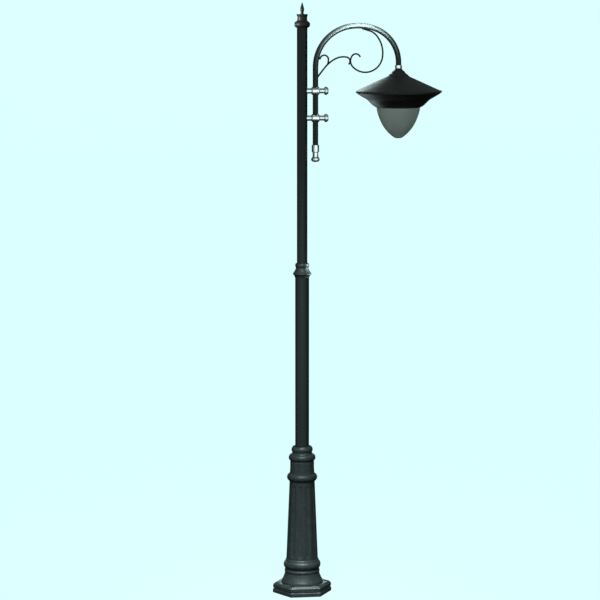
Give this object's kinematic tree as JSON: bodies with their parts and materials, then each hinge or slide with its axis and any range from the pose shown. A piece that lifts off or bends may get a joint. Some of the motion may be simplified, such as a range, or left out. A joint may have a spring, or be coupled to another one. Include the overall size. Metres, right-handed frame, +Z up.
{
  "type": "street lamp",
  "caption": "Black street lamp: hexagonal cast base, two-stage round column, goose-neck arm with scrollwork and a bell luminaire with a hinged lid and frosted bowl.",
  "frame": {"origin": "on the column axis at ground level, the centre of the anchor bolt circle in the plane of the plinth's foot", "axes": "+Z up the column; +X towards the luminaire, in the plane of the arm; +Y towards the service door"},
  "size_m": [1.241, 0.616, 4.326],
  "materials": {
    "cast_black": "gloss black enamel over sand-cast iron",
    "paint_black": "gloss black enamel",
    "alu_black": "gloss black powder coat",
    "alu_bright": "polished",
    "alu_white": "white enamel",
    "steel": "zinc plated",
    "brass": "turned",
    "rubber": "matt",
    "plastic_black": "matt",
    "plastic_grey": "matt",
    "ceramic": "glazed",
    "bowl_glass": "frosted",
    "lamp_glass": "coated"
  },
  "bodies": {
    "column": {"anchor_nuts": "paint_black", "anchor_washers": "paint_black", "arm_end_cap": "alu_bright", "arm_tube": "paint_black", "backboard": "plastic_grey", "backboard_screws": "steel", "ballast": "paint_black", "base_casting": "cast_black", "base_set_screws": "steel", "bracket_bosses": "steel", "bracket_knobs": "alu_bright", "bracket_standoffs": "alu_bright", "branch_scroll": "paint_black", "canopy": "alu_black", "canopy_cap": "alu_black", "canopy_clamp": "alu_bright", "capacitor": "alu_bright", "centring_bush": "plastic_black", "clamp_nut": "steel", "collar_set_screws": "steel", "coupling_sleeve": "alu_bright", "cutout_body": "plastic_black", "door_hinge_pins": "steel", "earth_stud": "brass", "finial_spear": "alu_black", "gear_tray": "steel", "ignitor": "plastic_grey", "lamp": "lamp_glass", "lampholder": "ceramic", "lampholder_bracket": "steel", "lid_hinge_pin": "steel", "lower_tube": "paint_black", "m6_set_screws": "steel", "m8_nuts": "steel", "main_scroll": "paint_black", "pole_cap": "alu_black", "reducer_collar": "cast_black", "reflector": "alu_white", "reflector_nuts": "steel", "reflector_posts": "steel", "rim_gasket": "rubber", "small_curl": "paint_black", "supply_cable": "rubber", "terminal_block": "ceramic", "tray_screws": "steel", "upper_tube": "paint_black"},
    "door": {"service_door": "cast_black"},
    "door_lock": {"door_lock_spindle": "steel", "door_lock_tongue": "steel", "door_lock_nut": "steel"},
    "line_fuse": {"fuse_carrier_line": "plastic_black", "fuse_cartridge": "ceramic"},
    "neutral_fuse": {"fuse_carrier_neutral": "plastic_black", "neutral_link": "brass"},
    "lid": {"skirt": "alu_black", "bowl_gasket": "rubber", "bowl": "bowl_glass", "bowl_ring": "steel", "bowl_ring_screws": "steel"},
    "latch": {"lid_latch": "alu_black"}
  },
  "joints": [
    {"name": "door_swing", "type": "hinge", "parent": "column", "child": "door", "pos_m": [-0.06463, 0.0923, 0.56], "axis": [0.0237, -0.0339, 0.9991], "range_deg": [0, 105]},
    {"name": "door_lock_turn", "type": "hinge", "parent": "door", "child": "door_lock", "pos_m": [0.0342, 0.09397, 0.565], "axis": [-0.342, -0.9397, 0], "range_deg": [0, 90]},
    {"name": "line_fuse_tilt", "type": "hinge", "parent": "column", "child": "line_fuse", "pos_m": [-0.015, -0.008, 0.536], "axis": [-1, 0, 0], "range_deg": [0, 60]},
    {"name": "neutral_fuse_tilt", "type": "hinge", "parent": "column", "child": "neutral_fuse", "pos_m": [0.015, -0.008, 0.536], "axis": [-1, 0, 0], "range_deg": [0, 60]},
    {"name": "lid_swing", "type": "hinge", "parent": "column", "child": "lid", "pos_m": [1.015, 0, 3.68], "axis": [0, -1, 0], "range_deg": [0, 90]},
    {"name": "latch_turn", "type": "hinge", "parent": "lid", "child": "latch", "pos_m": [0.5046, 0.1994, 3.66], "axis": [0, 0, 1], "range_deg": [0, 90]}
  ]
}
